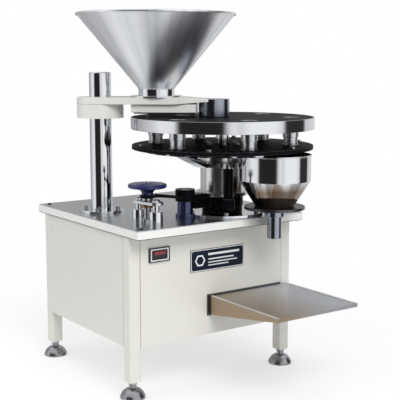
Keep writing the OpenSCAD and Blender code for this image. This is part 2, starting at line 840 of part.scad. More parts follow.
module switch_bezel() {
    color(col_black) placed() translate([switch_at[0], front_y, switch_at[1]]) difference() {
        union() {
            translate([-switch_w / 2, -4, -switch_h / 2]) cube([switch_w, 4, switch_h]);
            translate([-15.5, -1, -10]) cube([31, 20, 20]);
        }
        translate([-14.5, -5, -9.5]) cube([29, 19, 19]);
        translate([-16, 0, 0]) rotate([0, 90, 0]) cylinder(h = 32, r = rocker_pin_r + run);
    }
}

// Rocker with two flats that meet in a shallow vee, on two short pins
module switch_rocker() {
    color([0.7, 0.1, 0.1]) placed() translate([switch_at[0], front_y, switch_at[1]]) union() {
        translate([-14, 0, 0]) rotate([90, 0, 90]) linear_extrude(28)
            polygon([[-7, 8.2], [-4.2, 0], [-5, -8.2], [3, -8.2], [5, 0], [3, 8.2]]);
        translate([-15.3, 0, 0]) rotate([0, 90, 0]) cylinder(h = 30.6, r = rocker_pin_r);
    }
}

module nameplate() {
    color(col_navy) placed() translate([plate_at[0] - name_w / 2, front_y - 1, plate_at[1] - name_h / 2])
        cube([name_w, 1, name_h]);
}

module panel_screw(p, y, turn) {
    translate([p[0], y, p[1]]) rotate([turn, 0, 0]) {
        translate([0, 0, -10]) cylinder(h = 10, r = m6_r);
        cylinder(h = 3, r = m6_head);
    }
}
module panel_screws() {
    color(col_grey) placed() union() {
        for (p = rear_screw_at) panel_screw(p, hd - inset, -90);
        for (p = tray_screw_at) panel_screw(p, front_y - 4 - sheet, 90);
    }
}

// ---------- drive inside the cabinet ----------

// Hollow-bore worm gearbox hung under the lid
module worm_gearbox() {
    w = gear_w / 2;
    color(col_grey) placed() difference() {
        union() {
            block([disc[0] - w, disc[1] - w, gear_z0], [disc[0] + w, disc[1] + w, leg_top - 4]);
            block([disc[0] - w - 12, disc[1] - w, leg_top - 8],
                  [disc[0] + w + 12, disc[1] + w + 12, leg_top]);
            translate([disc[0], disc[1] + w, gear_z0 + 44]) rotate([-90, 0, 0]) cylinder(h = 10, r = 52);
        }
        rod(disc, spindle_r + run, gear_z0 - 1, leg_top + 1);
        for (p = base_screws) rod(p, m6_r + run, leg_top - 20, leg_top + 1);
    }
}

module drive_motor() {
    y0 = disc[1] + gear_w / 2 + 10;
    z = gear_z0 + 44;
    color(col_navy) placed() union() {
        translate([disc[0], y0, z]) rotate([-90, 0, 0]) cylinder(h = motor_len, r = motor_r - 6);
        for (i = [0:11]) translate([disc[0], y0 + 20 + i * 11, z]) rotate([-90, 0, 0])
            cylinder(h = 4, r = motor_r);
        translate([disc[0], y0 + motor_len - 32, z]) rotate([-90, 0, 0]) cylinder(h = 30, r = motor_r);
        translate([disc[0] - 30, y0 + 50, z - motor_r - 22]) cube([60, 70, 24]);
    }
}

module cable_gland() {
    y1 = hd - inset;
    color(col_black) placed() translate([gland_at[0], y1, gland_at[1]]) rotate([-90, 0, 0]) difference() {
        union() {
            translate([0, 0, -12]) cylinder(h = 14, r = 8);
            cylinder(h = 7, r = 12.5, $fn = 6);
            cylinder(h = 18, r = 9.5);
            translate([0, 0, -7]) cylinder(h = 4.9, r = 12.5, $fn = 6);
        }
        translate([0, 0, -13]) cylinder(h = 32, r = 4);
    }
}

leg_front_left();
leg_front_right();
leg_rear_left();
leg_rear_right();
foot_front_left();
foot_front_right();
foot_rear_left();
foot_rear_right();
foot_lock_nuts();
base_panel();
front_panel();
rear_panel();
left_panel();
right_panel();
lid();
deck_plate();
post();
post_flange();
deck_screws();
turret_base();
turret_column();
spindle_bearings();
guide_post();
lift_bridge();
lift_pillars();
lift_nut();
funnel();
funnel_bracket();
funnel_spout();
tray();
tray_bracket();
switch_bezel();
nameplate();
panel_screws();
drive_motor();
worm_gearbox();
cable_gland();
spindle();
shaft_collar();
upper_disc();
upper_disc_rim();
upper_cups();
lower_disc();
lower_cups();
lower_disc_screws();
sleeve();
yoke_bar();
thrust_washer();
gate_plate();
handwheel();
lift_screw();
arm_clamp();
clamp_screws();
arm();
hopper();
hopper_neck();
powder_box();
powder_ring();
scraper_hub();
switch_rocker();
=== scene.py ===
"""Looks of a bench-top rotary powder filler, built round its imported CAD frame. Metres, +Z up."""

import json
import math
import random

import bmesh
import bpy
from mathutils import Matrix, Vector


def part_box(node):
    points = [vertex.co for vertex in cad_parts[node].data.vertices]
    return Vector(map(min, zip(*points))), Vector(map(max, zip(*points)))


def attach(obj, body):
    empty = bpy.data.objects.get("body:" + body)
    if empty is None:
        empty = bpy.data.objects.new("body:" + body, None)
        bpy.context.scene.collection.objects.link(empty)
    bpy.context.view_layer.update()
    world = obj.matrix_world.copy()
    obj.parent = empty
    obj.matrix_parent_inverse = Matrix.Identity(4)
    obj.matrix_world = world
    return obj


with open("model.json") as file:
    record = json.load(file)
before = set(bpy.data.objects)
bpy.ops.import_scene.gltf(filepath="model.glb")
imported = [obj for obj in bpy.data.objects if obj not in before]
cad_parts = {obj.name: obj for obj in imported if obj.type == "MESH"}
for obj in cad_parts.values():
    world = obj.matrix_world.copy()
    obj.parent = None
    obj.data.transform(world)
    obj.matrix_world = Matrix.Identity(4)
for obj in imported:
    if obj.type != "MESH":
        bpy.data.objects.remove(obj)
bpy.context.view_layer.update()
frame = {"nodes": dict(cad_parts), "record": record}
nodes = frame["nodes"]
scene = bpy.context.scene

# ---------- camera ----------

# The eye stands left of the front, a little above the deck
EYE = (-1.2169, -1.7311, 0.7152)
EYE_TURN = 35.21  # degrees to the right
EYE_DROP = 8.45  # degrees below level
EYE_LENS = 83.8  # mm
SENSOR = 36.0  # mm


def place_camera():
    data = bpy.data.cameras.new("camera")
    data.lens = EYE_LENS
    data.sensor_width = SENSOR
    camera = bpy.data.objects.new("camera", data)
    camera.location = EYE
    camera.rotation_euler = (math.radians(90 - EYE_DROP), 0, math.radians(-EYE_TURN))
    scene.collection.objects.link(camera)
    scene.camera = camera


place_camera()

# ---------- places taken from the frame ----------


def middle(node):
    low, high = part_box(node)
    return (low + high) / 2


def top(node):
    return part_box(node)[1].z


TURRET = middle("turret_base")
POST = middle("post")
HOPPER = middle("hopper")
FUNNEL = middle("funnel")
WHEEL = middle("handwheel")
GUIDE = middle("guide_post")
DECK_Z = top("deck_plate")

# ---------- shader building blocks ----------


def put(tree, kind, **values):
    """Adds a node. A value goes to the input of that name, or to the property of that name."""
    node = tree.nodes.new(kind)
    for name, value in values.items():
        if hasattr(node, name):
            setattr(node, name, value)
        else:
            node.inputs[name.replace("_", " ")].default_value = value
    return node


def join(tree, *pairs):
    for source, target in pairs:
        tree.links.new(source, target)


def new_group(name, inputs, outputs):
    """A shader node group with named sockets. Each input is (name, type, default)."""
    group = bpy.data.node_groups.new(name, "ShaderNodeTree")
    for label, kind, default in inputs:
        socket = group.interface.new_socket(name=label, in_out="INPUT", socket_type="NodeSocket" + kind)
        socket.default_value = default
    for label, kind in outputs:
        group.interface.new_socket(name=label, in_out="OUTPUT", socket_type="NodeSocket" + kind)
    start = group.nodes.new("NodeGroupInput")
    end = group.nodes.new("NodeGroupOutput")
    return group, start, end


def make_straight_grain():
    """Hairline brushing: noise drawn out along one direction. Stretch is large across the lines."""
    group, start, end = new_group(
        "straight_grain",
        [("Stretch", "Vector", (1, 1, 60)), ("Scale", "Float", 12.0),
         ("Low", "Float", 0.2), ("High", "Float", 0.4)],
        [("Roughness", "Float"), ("Lines", "Float")],
    )
    place = put(group, "ShaderNodeTexCoord")
    mapping = put(group, "ShaderNodeMapping")
    fine = put(group, "ShaderNodeTexNoise", Detail=6.0, Roughness=0.65)
    spread = put(group, "ShaderNodeMapRange", From_Min=0.3, From_Max=0.7)
    join(
        group,
        (place.outputs["Object"], mapping.inputs["Vector"]),
        (start.outputs["Stretch"], mapping.inputs["Scale"]),
        (mapping.outputs["Vector"], fine.inputs["Vector"]),
        (start.outputs["Scale"], fine.inputs["Scale"]),
        (fine.outputs["Fac"], spread.inputs["Value"]),
        (start.outputs["Low"], spread.inputs["To Min"]),
        (start.outputs["High"], spread.inputs["To Max"]),
        (spread.outputs["Result"], end.inputs["Roughness"]),
        (fine.outputs["Fac"], end.inputs["Lines"]),
    )
    return group


def make_turned_grain():
    """Lathe lines round an upright axis: noise by radius and height, and by angle where Sweep is above 0."""
    group, start, end = new_group(
        "turned_grain",
        [("Axis", "Vector", (0, 0, 0)), ("Scale", "Float", 900.0), ("Sweep", "Float", 0.0),
         ("Low", "Float", 0.1), ("High", "Float", 0.2)],
        [("Roughness", "Float"), ("Lines", "Float"), ("Streaks", "Float")],
    )
    place = put(group, "ShaderNodeTexCoord")
    shift = put(group, "ShaderNodeVectorMath", operation="SUBTRACT")
    parts = put(group, "ShaderNodeSeparateXYZ")
    flat = put(group, "ShaderNodeCombineXYZ")
    radius = put(group, "ShaderNodeVectorMath", operation="LENGTH")
    turn = put(group, "ShaderNodeMath", operation="ARCTAN2")
    swept = put(group, "ShaderNodeMath", operation="MULTIPLY")
    profile = put(group, "ShaderNodeCombineXYZ")
    lines = put(group, "ShaderNodeTexNoise", Detail=4.0, Roughness=0.7)
    spread = put(group, "ShaderNodeMapRange", From_Min=0.3, From_Max=0.7)
    join(
        group,
        (place.outputs["Object"], shift.inputs[0]),
        (start.outputs["Axis"], shift.inputs[1]),
        (shift.outputs["Vector"], parts.inputs["Vector"]),
        (parts.outputs["X"], flat.inputs["X"]),
        (parts.outputs["Y"], flat.inputs["Y"]),
        (flat.outputs["Vector"], radius.inputs[0]),
        (parts.outputs["Y"], turn.inputs[0]),
        (parts.outputs["X"], turn.inputs[1]),
        (turn.outputs["Value"], swept.inputs[0]),
        (start.outputs["Sweep"], swept.inputs[1]),
        (radius.outputs["Value"], profile.inputs["X"]),
        (swept.outputs["Value"], profile.inputs["Y"]),
        (parts.outputs["Z"], profile.inputs["Z"]),
        (profile.outputs["Vector"], lines.inputs["Vector"]),
        (start.outputs["Scale"], lines.inputs["Scale"]),
        (lines.outputs["Fac"], spread.inputs["Value"]),
        (start.outputs["Low"], spread.inputs["To Min"]),
        (start.outputs["High"], spread.inputs["To Max"]),
        (spread.outputs["Result"], end.inputs["Roughness"]),
        (lines.outputs["Fac"], end.inputs["Lines"]),
    )
    # Painted reflection bands: this mask changes with the angle round the axis only
    around = put(group, "ShaderNodeCombineXYZ")
    bands = put(group, "ShaderNodeTexNoise", Scale=4.5, Detail=3.0, Roughness=0.6)
    share = put(group, "ShaderNodeMapRange", From_Min=0.46, From_Max=0.68)
    join(
        group,
        (turn.outputs["Value"], around.inputs["X"]),
        (around.outputs["Vector"], bands.inputs["Vector"]),
        (bands.outputs["Fac"], share.inputs["Value"]),
        (share.outputs["Result"], end.inputs["Streaks"]),
    )
    return group


def make_edge_wear():
    """White where an edge is sharp: the rounded normal there leans away from the true one."""
    group, start, end = new_group(
        "edge_wear",
        [("Radius", "Float", 0.0015), ("Amount", "Float", 1.0), ("Break up", "Float", 260.0)],
        [("Mask", "Float")],
    )
    rounded = put(group, "ShaderNodeBevel", samples=4)
    true = put(group, "ShaderNodeNewGeometry")
    lean = put(group, "ShaderNodeVectorMath", operation="DOT_PRODUCT")
    turn = put(group, "ShaderNodeMapRange", From_Min=0.995, From_Max=0.86, To_Min=0.0, To_Max=1.0)
    place = put(group, "ShaderNodeTexCoord")
    chips = put(group, "ShaderNodeTexNoise", Detail=3.0)
    gate = put(group, "ShaderNodeMapRange", From_Min=0.42, From_Max=0.62)
    both = put(group, "ShaderNodeMath", operation="MULTIPLY")
    amount = put(group, "ShaderNodeMath", operation="MULTIPLY", use_clamp=True)
    join(
        group,
        (start.outputs["Radius"], rounded.inputs["Radius"]),
        (rounded.outputs["Normal"], lean.inputs[0]),
        (true.outputs["Normal"], lean.inputs[1]),
        (lean.outputs["Value"], turn.inputs["Value"]),
        (place.outputs["Object"], chips.inputs["Vector"]),
        (start.outputs["Break up"], chips.inputs["Scale"]),
        (chips.outputs["Fac"], gate.inputs["Value"]),
        (turn.outputs["Result"], both.inputs[0]),
        (gate.outputs["Result"], both.inputs[1]),
        (both.outputs["Value"], amount.inputs[0]),
        (start.outputs["Amount"], amount.inputs[1]),
        (amount.outputs["Value"], end.inputs["Mask"]),
    )
    return group


def make_handling_marks():
    """Soft cloudy patches left by hands and wiping."""
    group, start, end = new_group(
        "handling_marks",
        [("Scale", "Float", 9.0), ("Cover", "Float", 0.5)],
        [("Mask", "Float")],
    )
    place = put(group, "ShaderNodeTexCoord")
    cloud = put(group, "ShaderNodeTexNoise", Detail=5.0, Roughness=0.6, Distortion=0.6)
    spread = put(group, "ShaderNodeMapRange", From_Min=0.42, From_Max=0.72)
    amount = put(group, "ShaderNodeMath", operation="MULTIPLY", use_clamp=True)
    join(
        group,
        (place.outputs["Object"], cloud.inputs["Vector"]),
        (start.outputs["Scale"], cloud.inputs["Scale"]),
        (cloud.outputs["Fac"], spread.inputs["Value"]),
        (spread.outputs["Result"], amount.inputs[0]),
        (start.outputs["Cover"], amount.inputs[1]),
        (amount.outputs["Value"], end.inputs["Mask"]),
    )
    return group


def make_orange_peel():
    """The faint pebbled skin of sprayed enamel, with a slow drift in its tone."""
    group, start, end = new_group(
        "orange_peel",
        [("Scale", "Float", 420.0), ("Drift scale", "Float", 4.0)],
        [("Height", "Float"), ("Tone", "Float")],
    )
    place = put(group, "ShaderNodeTexCoord")
    pebble = put(group, "ShaderNodeTexNoise", Detail=2.0, Roughness=0.4)
    drift = put(group, "ShaderNodeTexNoise", Detail=3.0)
    join(
        group,
        (place.outputs["Object"], pebble.inputs["Vector"]),
        (start.outputs["Scale"], pebble.inputs["Scale"]),
        (place.outputs["Object"], drift.inputs["Vector"]),
        (start.outputs["Drift scale"], drift.inputs["Scale"]),
        (pebble.outputs["Fac"], end.inputs["Height"]),
        (drift.outputs["Fac"], end.inputs["Tone"]),
    )
    return group


STRAIGHT = make_straight_grain()
TURNED = make_turned_grain()
WEAR = make_edge_wear()
MARKS = make_handling_marks()
PEEL = make_orange_peel()


def start_material(name, **constants):
    """A material with one Principled shader, whose plain values are set on its own sockets."""
    material = bpy.data.materials.new(name)
    material.use_nodes = True
    tree = material.node_tree
    shader = tree.nodes["Principled BSDF"]
    for label, value in constants.items():
        shader.inputs[label.replace("_", " ")].default_value = value
    return material, tree, shader


def use_group(tree, group, **values):
    node = tree.nodes.new("ShaderNodeGroup")
    node.node_tree = group
    for label, value in values.items():
        node.inputs[label.replace("_", " ")].default_value = value
    return node


def rgb(r, g, b):
    return (r, g, b, 1.0)


def blend_colours(tree, factor, low, high):
    """Mixes two colours by a mask and returns the colour output. low may be a socket."""
    mix = tree.nodes.new("ShaderNodeMix")
    mix.data_type = "RGBA"
    tree.links.new(factor, mix.inputs["Factor"])
    for socket, value in ((mix.inputs["A"], low), (mix.inputs["B"], high)):
        if isinstance(value, bpy.types.NodeSocket):
            tree.links.new(value, socket)
        else:
            socket.default_value = value
    return mix.outputs["Result"]


def object_axes(tree):
    """The X, Y and Z outputs of the object's own coordinates."""
    place = put(tree, "ShaderNodeTexCoord")
    parts = put(tree, "ShaderNodeSeparateXYZ")
    join(tree, (place.outputs["Object"], parts.inputs["Vector"]))
    return parts.outputs


def bump(tree, shader, height, strength, depth=0.0002):
    node = put(tree, "ShaderNodeBump", Strength=strength, Distance=depth)
    join(tree, (height, node.inputs["Height"]), (node.outputs["Normal"], shader.inputs["Normal"]))


def add_scaled(tree, base, extra, amount):
    """base + extra * amount, clamped."""
    node = put(tree, "ShaderNodeMath", operation="MULTIPLY_ADD", use_clamp=True)
    join(tree, (extra, node.inputs[0]), (base, node.inputs[2]))
    node.inputs[1].default_value = amount
    return node.outputs["Value"]


# ---------- finishes ----------

# How much a hand mark adds to a metal's roughness
MARK_DULLING = 0.08


def enamel(name, colour, drift_colour, roughness=0.34, coat=0.25, wear=0.35):
    """Sprayed enamel on sheet steel."""
    material, tree, shader = start_material(name, Roughness=roughness, Coat_Weight=coat, Coat_Roughness=0.12)
    peel = use_group(tree, PEEL)
    edges = use_group(tree, WEAR, Radius=0.0012, Amount=wear)
    marks = use_group(tree, MARKS, Scale=6.0, Cover=0.35)
    tone = blend_colours(tree, peel.outputs["Tone"], colour, drift_colour)
    worn = blend_colours(tree, edges.outputs["Mask"], tone, rgb(0.62, 0.61, 0.58))
    rough = put(tree, "ShaderNodeMapRange", To_Min=roughness - 0.05, To_Max=roughness + 0.14)
    join(
        tree,
        (worn, shader.inputs["Base Color"]),
        (marks.outputs["Mask"], rough.inputs["Value"]),
        (rough.outputs["Result"], shader.inputs["Roughness"]),
    )
    bump(tree, shader, peel.outputs["Height"], 0.12)
    return material


def metal(name, grain, tint, shade, low, high, relief=0.1, marks_cover=0.35, wear=0.0, edge_tint=None,
          reflection_low_down=None, reflection_bands=None):
    """Bare metal: a grain group gives the brushing, and hands leave duller patches.

    low and high are the least and most roughness of the grain.
    The low-down reflection argument is (height it reaches, height where it is full, colour) of a painted brown
    reflection low down.
    streaks is the tone of the long polishing streaks that run from rim to foot on a turned grain.
    """
    material, tree, shader = start_material(name, Metallic=1.0)
    lines = grain(tree, low, high)
    marks = use_group(tree, MARKS, Scale=11.0, Cover=marks_cover)
    tone = blend_colours(tree, lines.outputs["Lines"], tint, shade)
    if wear:
        edges = use_group(tree, WEAR, Radius=0.001, Amount=wear)
        tone = blend_colours(tree, edges.outputs["Mask"], tone, edge_tint or rgb(0.85, 0.85, 0.86))
    # Painted reflection: darker upright bands by the angle round the axis
    if reflection_bands:
        tone = blend_colours(tree, lines.outputs["Streaks"], tone, reflection_bands)
    # Painted reflection: a brown tone that grows towards the bottom
    if reflection_low_down:
        reach, full, low_reflection_colour = reflection_low_down
        low_reflection_mask = put(tree, "ShaderNodeMapRange", From_Min=reach, From_Max=full)
        join(tree, (object_axes(tree)["Z"], low_reflection_mask.inputs["Value"]))
        tone = blend_colours(tree, low_reflection_mask.outputs["Result"], tone, low_reflection_colour)
    rough = add_scaled(tree, lines.outputs["Roughness"], marks.outputs["Mask"], MARK_DULLING)
    join(tree, (tone, shader.inputs["Base Color"]), (rough, shader.inputs["Roughness"]))
    if relief:
        bump(tree, shader, lines.outputs["Lines"], relief)
    return material


def reflection_tinted_sheet(name, node, left, right):
    """Brushed sheet whose tone drifts from one side of a node to the other, as a painted reflection."""
    material, tree, shader = start_material(name, Metallic=1.0)
    low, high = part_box(node)
    lines = use_group(tree, STRAIGHT, Stretch=(4, 160, 4), Scale=5.0, Low=0.26, High=0.36)
    marks = use_group(tree, MARKS, Scale=7.0, Cover=0.25)
    # Painted reflection: the colour drifts from the left side to the right
    left_end, right_end = low.x + 0.02, high.x - 0.06
    across = put(tree, "ShaderNodeMapRange", From_Min=left_end, From_Max=right_end)
    join(tree, (object_axes(tree)["X"], across.inputs["Value"]))
    tone = blend_colours(tree, across.outputs["Result"], left, right)
    tone = blend_colours(tree, marks.outputs["Mask"], tone, rgb(0.42, 0.40, 0.38))
    rough = add_scaled(tree, lines.outputs["Roughness"], marks.outputs["Mask"], MARK_DULLING)
    join(tree, (tone, shader.inputs["Base Color"]), (rough, shader.inputs["Roughness"]))
    bump(tree, shader, lines.outputs["Lines"], 0.03)
    return material


def straight(stretch, scale=12.0):
    """Straight brushing for metal(). Stretch is large across the lines."""
    return lambda tree, low, high: use_group(
        tree, STRAIGHT, Stretch=stretch, Scale=scale, Low=low, High=high)


def turned(axis, scale=900.0, sweep=0.0):
    """Lathe lines round an upright axis for metal(). Sweep breaks the rings up along their length."""
    return lambda tree, low, high: use_group(
        tree, TURNED, Axis=(axis.x, axis.y, 0), Scale=scale, Sweep=sweep, Low=low, High=high)


def moulded(name, colour, roughness=0.45, coat=0.0, specular=0.5):
    """Moulded plastic with a fine spark texture."""
    material, tree, shader = start_material(
        name, Roughness=roughness, Coat_Weight=coat, Specular_IOR_Level=specular)
    peel = use_group(tree, PEEL, Scale=2600.0, Drift_scale=30.0)
    pale = rgb(*[min(1.0, c * 1.6 + 0.01) for c in colour[:3]])
    tone = blend_colours(tree, peel.outputs["Tone"], colour, pale)
    join(tree, (tone, shader.inputs["Base Color"]))
    bump(tree, shader, peel.outputs["Height"], 0.18)
    return material


def black_machined(name, grain, low=0.4, high=0.55):
    """Blackened metal that still shows its lathe lines, bright where its edges are rubbed."""
    material, tree, shader = start_material(name, Metallic=0.0, IOR=1.1)
    lines = grain(tree, low, high)
    edges = use_group(tree, WEAR, Radius=0.0012, Amount=0.8)
    tone = blend_colours(tree, lines.outputs["Lines"], rgb(0.003, 0.003, 0.004), rgb(0.009, 0.009, 0.012))
    worn = blend_colours(tree, edges.outputs["Mask"], tone, rgb(0.30, 0.30, 0.32))
    join(tree, (worn, shader.inputs["Base Color"]), (lines.outputs["Roughness"], shader.inputs["Roughness"]))
    bump(tree, shader, lines.outputs["Lines"], 0.08)
    return material


STEEL_TINT = rgb(0.74, 0.75, 0.77)
STEEL_SHADE = rgb(0.60, 0.62, 0.65)
CHROME_TINT = rgb(0.84, 0.85, 0.87)
CHROME_SHADE = rgb(0.72, 0.74, 0.78)

cream = enamel("cream_enamel", rgb(0.80, 0.79, 0.74), rgb(0.84, 0.825, 0.77))
# The lid's cream is the cabinet's paint made paler: a painted highlight on its lit folded edge
lid_cream_highlight = enamel("lid_enamel_highlight", rgb(0.92, 0.92, 0.91), rgb(0.94, 0.94, 0.92), roughness=0.28)
cream_arm = enamel("arm_enamel", rgb(0.80, 0.79, 0.76), rgb(0.84, 0.83, 0.80), roughness=0.3)
deck_steel = metal(
    "deck_steel", straight((60, 1, 1)), rgb(0.66, 0.68, 0.70), rgb(0.60, 0.62, 0.64), 0.24, 0.32, relief=0.03)
# Bronze at the left and blue-grey at the right: painted reflections in the tray's steel
tray_steel = reflection_tinted_sheet("tray_steel", "tray", rgb(0.40, 0.31, 0.22), rgb(0.56, 0.58, 0.62))
# Near-white steel for the tray's hems: a painted highlight
hem_highlight_steel = metal(
    "hem_highlight_steel", straight((1, 30, 1)), rgb(0.95, 0.95, 0.95), rgb(0.90, 0.90, 0.91), 0.42, 0.5,
    relief=0.02, marks_cover=0.1)
sheet_steel = metal("sheet_steel", straight((1, 1, 60)), STEEL_TINT, STEEL_SHADE, 0.2, 0.34)
post_chrome = metal("post_chrome", turned(POST), CHROME_TINT, CHROME_SHADE, 0.04, 0.1, relief=0.04)
turret_chrome = metal("turret_chrome", turned(TURRET), CHROME_TINT, CHROME_SHADE, 0.05, 0.12, relief=0.05)
sleeve_steel = metal("sleeve_steel", turned(TURRET), rgb(0.82, 0.79, 0.78), rgb(0.70, 0.68, 0.68), 0.16, 0.28)
# The guide post's dark navy tone stands in for the dark reflections in its chrome: painted reflection
guide_reflection_blue = metal(
    "guide_steel_painted_reflection", turned(GUIDE), rgb(0.10, 0.11, 0.20), rgb(0.06, 0.07, 0.14), 0.12, 0.24,
    relief=0.05, wear=0.5)
# The hopper's darker upright bands are painted reflections of the parts round it
hopper_steel = metal(
    "hopper_steel", turned(HOPPER, 30.0, 0.08), rgb(0.95, 0.96, 0.98), rgb(0.88, 0.90, 0.93), 0.32, 0.34,
    relief=0.0, marks_cover=0.0, reflection_bands=rgb(0.66, 0.69, 0.73))
foot_steel = metal(
    "foot_steel", straight((1, 1, 40), 14.0), rgb(0.52, 0.52, 0.54), rgb(0.16, 0.16, 0.18), 0.14, 0.28)
# The hub's dark bluish tone stands in for the dark reflections in its polished steel: painted reflection
hub_reflection_steel = metal(
    "hub_reflection_steel", turned(TURRET), rgb(0.40, 0.43, 0.50), rgb(0.28, 0.30, 0.36), 0.12, 0.24, wear=0.5)
funnel_chrome = metal("funnel_chrome", turned(FUNNEL), CHROME_TINT, CHROME_SHADE, 0.05, 0.11, relief=0.05)
# The painted brown reflection starts just above the cone's top and is full a little below it
CONE_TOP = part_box("funnel")[0].z + 0.058
cone_chrome = metal(
    "cone_chrome", turned(FUNNEL), CHROME_TINT, CHROME_SHADE, 0.06, 0.14, relief=0.05,
    reflection_low_down=(CONE_TOP + 0.002, CONE_TOP - 0.02, rgb(0.26, 0.20, 0.16)))
spout_steel = metal("spout_steel", turned(FUNNEL), rgb(0.42, 0.45, 0.52), rgb(0.28, 0.30, 0.37), 0.12, 0.22)
small_chrome = metal(
    "small_chrome", straight((1, 1, 3), 60.0), CHROME_TINT, CHROME_SHADE, 0.06, 0.14, relief=0.03)
screw_steel = metal(
    "screw_steel", straight((1, 1, 2), 200.0), rgb(0.55, 0.55, 0.56), rgb(0.42, 0.42, 0.44), 0.2, 0.34, wear=0.7)
dark_steel = metal(
    "dark_steel", straight((40, 1, 1)), rgb(0.16, 0.16, 0.17), rgb(0.08, 0.08, 0.09), 0.25, 0.4,
    wear=0.6, edge_tint=rgb(0.4, 0.4, 0.41))
bronze = metal("bronze", straight((1, 1, 30), 40.0), rgb(0.34, 0.24, 0.12), rgb(0.24, 0.16, 0.08), 0.24, 0.4)
disc_black = black_machined("disc_black", turned(TURRET))
yoke_black = black_machined("yoke_black", straight((30, 1, 1)), 0.2, 0.34)
navy = enamel(
    "navy_enamel", rgb(0.005, 0.008, 0.065), rgb(0.009, 0.013, 0.10), roughness=0.3, coat=0.3, wear=0.2)
plate_blue = moulded("nameplate_blue", rgb(0.004, 0.009, 0.020), roughness=0.5, specular=0.15)
plate_light = moulded("nameplate_light", rgb(0.72, 0.75, 0.78), roughness=0.3)
black_plastic = moulded("black_plastic", rgb(0.012, 0.012, 0.014))
red_plastic = moulded("red_plastic", rgb(0.20, 0.035, 0.035), roughness=0.25, coat=0.3)
# Black for the strip that paints the shadow line under the lid's edge
lid_shadow_black = moulded("painted_shadow_black", rgb(0.015, 0.015, 0.016), roughness=0.7)
casting = enamel(
    "grey_casting", rgb(0.14, 0.16, 0.18), rgb(0.20, 0.22, 0.24), roughness=0.5, coat=0.0, wear=0.7)

# The finish of each slot in the record
FINISH = {
    "cream_paint": cream,
    "brushed_steel": sheet_steel,
    "polished_steel": small_chrome,
    "black_metal": disc_black,
    "navy_paint": navy,
    "plain_steel": screw_steel,
    "dark_steel": dark_steel,
    "brass": bronze,
    "nameplate_blue": plate_blue,
    "black_plastic": black_plastic,
    "red_plastic": red_plastic,
    "grey_casting": casting,
}
# Nodes whose finish has its own grain, axis or tone
SPECIAL = {
    "lid": lid_cream_highlight,
    "arm": cream_arm,
    "arm_clamp": cream_arm,
    "powder_box": cream_arm,
    "deck_plate": deck_steel,
    "tray": tray_steel,
    "post": post_chrome,
    "post_flange": post_chrome,
    "turret_base": turret_chrome,
    "upper_disc_rim": turret_chrome,
    "scraper_hub": hub_reflection_steel,
    "sleeve": sleeve_steel,
    "guide_post": guide_reflection_blue,
    "hopper": hopper_steel,
    "hopper_neck": funnel_chrome,
    "funnel": cone_chrome,
    "funnel_spout": spout_steel,
    "yoke_bar": yoke_black,
}
SPECIAL.update({name: foot_steel for name in nodes if name.startswith("foot_") and name != "foot_lock_nuts"})


def finish_frame():
    """Gives every CAD piece its finish."""
    for entry in frame["record"]["subparts"]:
        name = entry["node"]
        mesh = nodes[name].data
        mesh.materials.clear()
        mesh.materials.append(SPECIAL.get(name, FINISH[entry["material_slot"]]))


finish_frame()

# ---------- edges of the CAD pieces ----------

SHARP = math.radians(22)  # an edge that turns more than this is rounded
FLAT = math.radians(0.5)  # faces that turn less than this are one face
TOUCHING = 1e-6
CAD_EDGE = 0.0005
ROUND_STEPS = 2
BY_AREA = 100  # the larger face decides the shading at an edge


def soften(name, width):
    """Rounds a CAD piece's hard edges with modifiers, which leave its own vertices alone."""
    piece = nodes[name]
    mesh = piece.data
    for old in [a for a in mesh.attributes if a.name == "custom_normal"]:
        mesh.attributes.remove(old)
    mesh.shade_smooth()
    weld = piece.modifiers.new("weld", "WELD")
    weld.merge_threshold = TOUCHING
    flat = piece.modifiers.new("flat", "DECIMATE")
    flat.decimate_type = "DISSOLVE"
    flat.angle_limit = FLAT
    edge = piece.modifiers.new("edge", "BEVEL")
    edge.width = width
    edge.segments = ROUND_STEPS
    edge.limit_method = "ANGLE"
    edge.angle_limit = SHARP
    edge.harden_normals = False
    normals = piece.modifiers.new("normals", "WEIGHTED_NORMAL")
    normals.keep_sharp = False
    normals.weight = BY_AREA


for entry in frame["record"]["subparts"]:
    soften(entry["node"], CAD_EDGE)

# ---------- pieces added to the frame ----------


def merge(*parts):
    """Joins several (points, faces) meshes into one."""
    points, faces = [], []
    for more_points, more_faces in parts:
        base = len(points)
        points += more_points
        faces += [tuple(base + i for i in face) for face in more_faces]
    return points, faces


def prism(outline, y0, y1):
    """Upright plate facing the front, from an outline of (x, z) points."""
    n = len(outline)
    points = [(x, y0, z) for x, z in outline] + [(x, y1, z) for x, z in outline]
    faces = [tuple(range(n)), tuple(range(2 * n - 1, n - 1, -1))]
    faces += [(i, n + i, n + (i + 1) % n, (i + 1) % n) for i in range(n)]
    return points, faces


def bar(x0, x1, z0, z1, y0, y1):
    return prism([(x0, z0), (x1, z0), (x1, z1), (x0, z1)], y0, y1)


def border(x0, x1, z0, z1, wide, y0, y1):
    """Four bars just inside a rectangle."""
    return merge(
        bar(x0, x1, z1 - wide, z1, y0, y1),
        bar(x0, x1, z0, z0 + wide, y0, y1),
        bar(x0, x0 + wide, z0 + wide, z1 - wide, y0, y1),
        bar(x1 - wide, x1, z0 + wide, z1 - wide, y0, y1),
    )


def lathe(at, profile, spokes=64, squash=None):
    """Ring turned about an upright axis, from a closed outline of (radius, height) points.

    squash(angle) scales the radius, for a shape that isn't round.
    """
    points, faces, n = [], [], len(profile)
    for k in range(spokes):
        a = 2 * math.pi * k / spokes
        for r, z in profile:
            reach = r * (squash(a) if squash else 1.0)
            points.append((at[0] + reach * math.cos(a), at[1] + reach * math.sin(a), z))
    for k in range(spokes):
        here, there = k * n, (k + 1) % spokes * n
        faces += [(here + i, there + i, there + (i + 1) % n, here + (i + 1) % n) for i in range(n)]
    return points, faces


